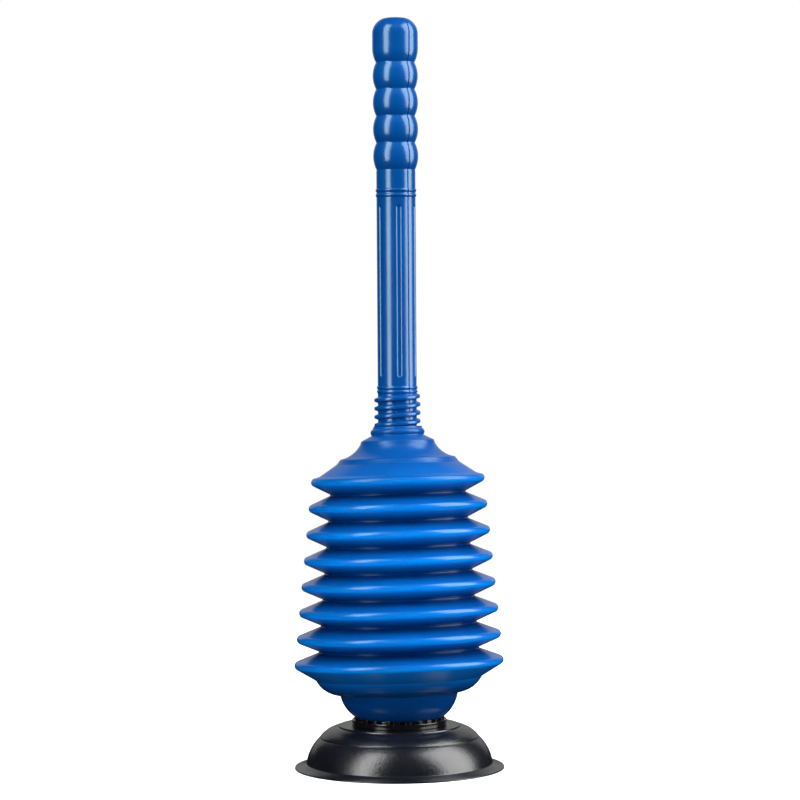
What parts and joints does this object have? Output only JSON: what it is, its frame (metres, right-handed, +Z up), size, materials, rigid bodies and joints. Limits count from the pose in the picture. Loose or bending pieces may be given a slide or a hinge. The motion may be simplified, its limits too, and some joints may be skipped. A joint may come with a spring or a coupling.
{
  "type": "toilet plunger",
  "caption": "Upright bellows toilet plunger: hollow screw-in handle with a ribbed grip, stepped plastic bellows, vent collar and flared rubber cup.",
  "frame": {"origin": "centre of the cup's rim, in the plane that the rim stands on", "axes": "+Z up along the common axis of cup, bellows and handle"},
  "size_m": [0.1708, 0.1708, 0.61],
  "materials": {
    "blue_plastic": "satin gloss, blow moulded",
    "black_plastic": "gloss",
    "cup_rubber": "satin",
    "flap_rubber": "matte"
  },
  "bodies": {
    "cup": {"rubber_cup": "cup_rubber", "vent_collar": "black_plastic", "cup_washer": "black_plastic", "ring_nut": "black_plastic", "bellows_bowl": "blue_plastic", "bellows_folds": "blue_plastic"},
    "flap": {"valve_flap": "flap_rubber"},
    "shoulder": {"bellows_neck": "blue_plastic"},
    "plug": {"handle_end_plug": "black_plastic"},
    "handle": {"handle": "blue_plastic"}
  },
  "joints": [
    {"name": "plunge_stroke", "type": "slide", "parent": "cup", "child": "shoulder", "axis": [0, 0, 1], "range_m": [-0.085, 0.012], "stiffness_N_per_m": 1500, "springref_m": 0.002, "deforming": ["bellows_folds"]},
    {"name": "handle_rise", "type": "slide", "parent": "shoulder", "child": "plug", "axis": [0, 0, 1], "range_m": [-0.0205, 0.0069]},
    {"name": "handle_turn", "type": "hinge", "parent": "plug", "child": "handle", "pos_m": [0, 0, 0.259], "axis": [0, 0, 1], "range_deg": [-1080, 360]},
    {"name": "flap_lift", "type": "slide", "parent": "cup", "child": "flap", "axis": [0, 0, 1], "range_m": [0, 0.002]}
  ],
  "couplings": [
    {"joint": "handle_rise", "follows": "handle_turn", "m_per_rad": 0.0010823}
  ]
}
